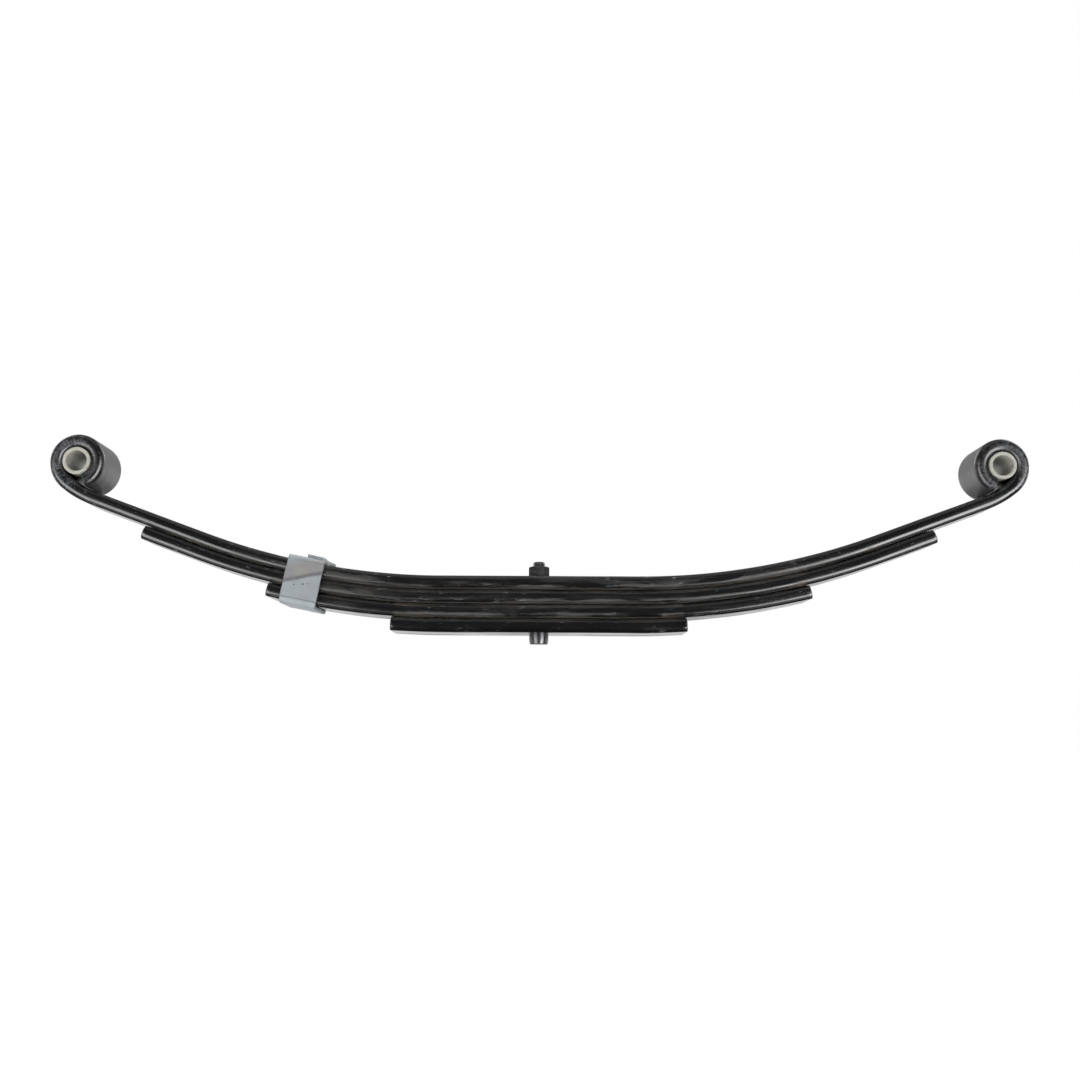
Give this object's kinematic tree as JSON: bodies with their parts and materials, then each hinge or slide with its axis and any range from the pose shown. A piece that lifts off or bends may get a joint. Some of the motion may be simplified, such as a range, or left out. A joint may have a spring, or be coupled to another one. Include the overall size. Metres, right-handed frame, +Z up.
{
  "type": "leaf spring",
  "caption": "Cambered semi-elliptic leaf spring with stacked flat leaves, rolled eyes with plastic bushes, a centre bolt and a rebound clip; the arms flex down under load.",
  "frame": {"origin": "on the centre bolt's axis, in the plane of the axle seat under the shortest leaf", "axes": "+X to the rear eye (the rebound clip is at the front, -X), +Y along the eyes' axes, +Z up towards the eyes"},
  "size_m": [0.6794, 0.0498, 0.1434],
  "materials": {
    "black_paint": "gloss black paint over spring steel, dusty in the seams",
    "bolt_steel": "dark grey phosphate",
    "nylon": "ivory nylon, satin",
    "zinc": "zinc-plated strap with scratches"
  },
  "bodies": {
    "center": {"main_leaf_center": "black_paint", "leaf_2_center": "black_paint", "leaf_3_center": "black_paint", "leaf_4": "black_paint", "center_bolt": "bolt_steel", "center_nut": "bolt_steel"},
    "front_main_arm": {"main_leaf_front": "black_paint", "front_bushing": "nylon"},
    "front_leaf_2_arm": {"leaf_2_front": "black_paint"},
    "front_leaf_3_arm": {"leaf_3_front": "black_paint", "rebound_clip": "zinc"},
    "rear_main_arm": {"main_leaf_rear": "black_paint", "rear_bushing": "nylon"},
    "rear_leaf_2_arm": {"leaf_2_rear": "black_paint"},
    "rear_leaf_3_arm": {"leaf_3_rear": "black_paint"}
  },
  "joints": [
    {"name": "front_main_leaf_flex", "type": "hinge", "parent": "center", "child": "front_main_arm", "pos_m": [-0.10845, 0, 0.03601], "axis": [0, -1, 0], "range_deg": [0, 12], "stiffness_Nm_per_rad": 6900},
    {"name": "front_leaf_2_flex", "type": "hinge", "parent": "center", "child": "front_leaf_2_arm", "pos_m": [-0.1093, 0, 0.02623], "axis": [0, -1, 0], "range_deg": [0, 12]},
    {"name": "front_leaf_3_flex", "type": "hinge", "parent": "center", "child": "front_leaf_3_arm", "pos_m": [-0.11014, 0, 0.01644], "axis": [0, -1, 0], "range_deg": [0, 12]},
    {"name": "rear_main_leaf_flex", "type": "hinge", "parent": "center", "child": "rear_main_arm", "pos_m": [0.10845, 0, 0.03601], "axis": [0, 1, 0], "range_deg": [0, 12], "stiffness_Nm_per_rad": 6900},
    {"name": "rear_leaf_2_flex", "type": "hinge", "parent": "center", "child": "rear_leaf_2_arm", "pos_m": [0.1093, 0, 0.02623], "axis": [0, 1, 0], "range_deg": [0, 12]},
    {"name": "rear_leaf_3_flex", "type": "hinge", "parent": "center", "child": "rear_leaf_3_arm", "pos_m": [0.11014, 0, 0.01644], "axis": [0, 1, 0], "range_deg": [0, 12]}
  ],
  "couplings": [
    {"joint": "front_leaf_2_flex", "follows": "front_main_leaf_flex", "ratio": 1},
    {"joint": "front_leaf_3_flex", "follows": "front_main_leaf_flex", "ratio": 1},
    {"joint": "rear_leaf_2_flex", "follows": "rear_main_leaf_flex", "ratio": 1},
    {"joint": "rear_leaf_3_flex", "follows": "rear_main_leaf_flex", "ratio": 1}
  ]
}
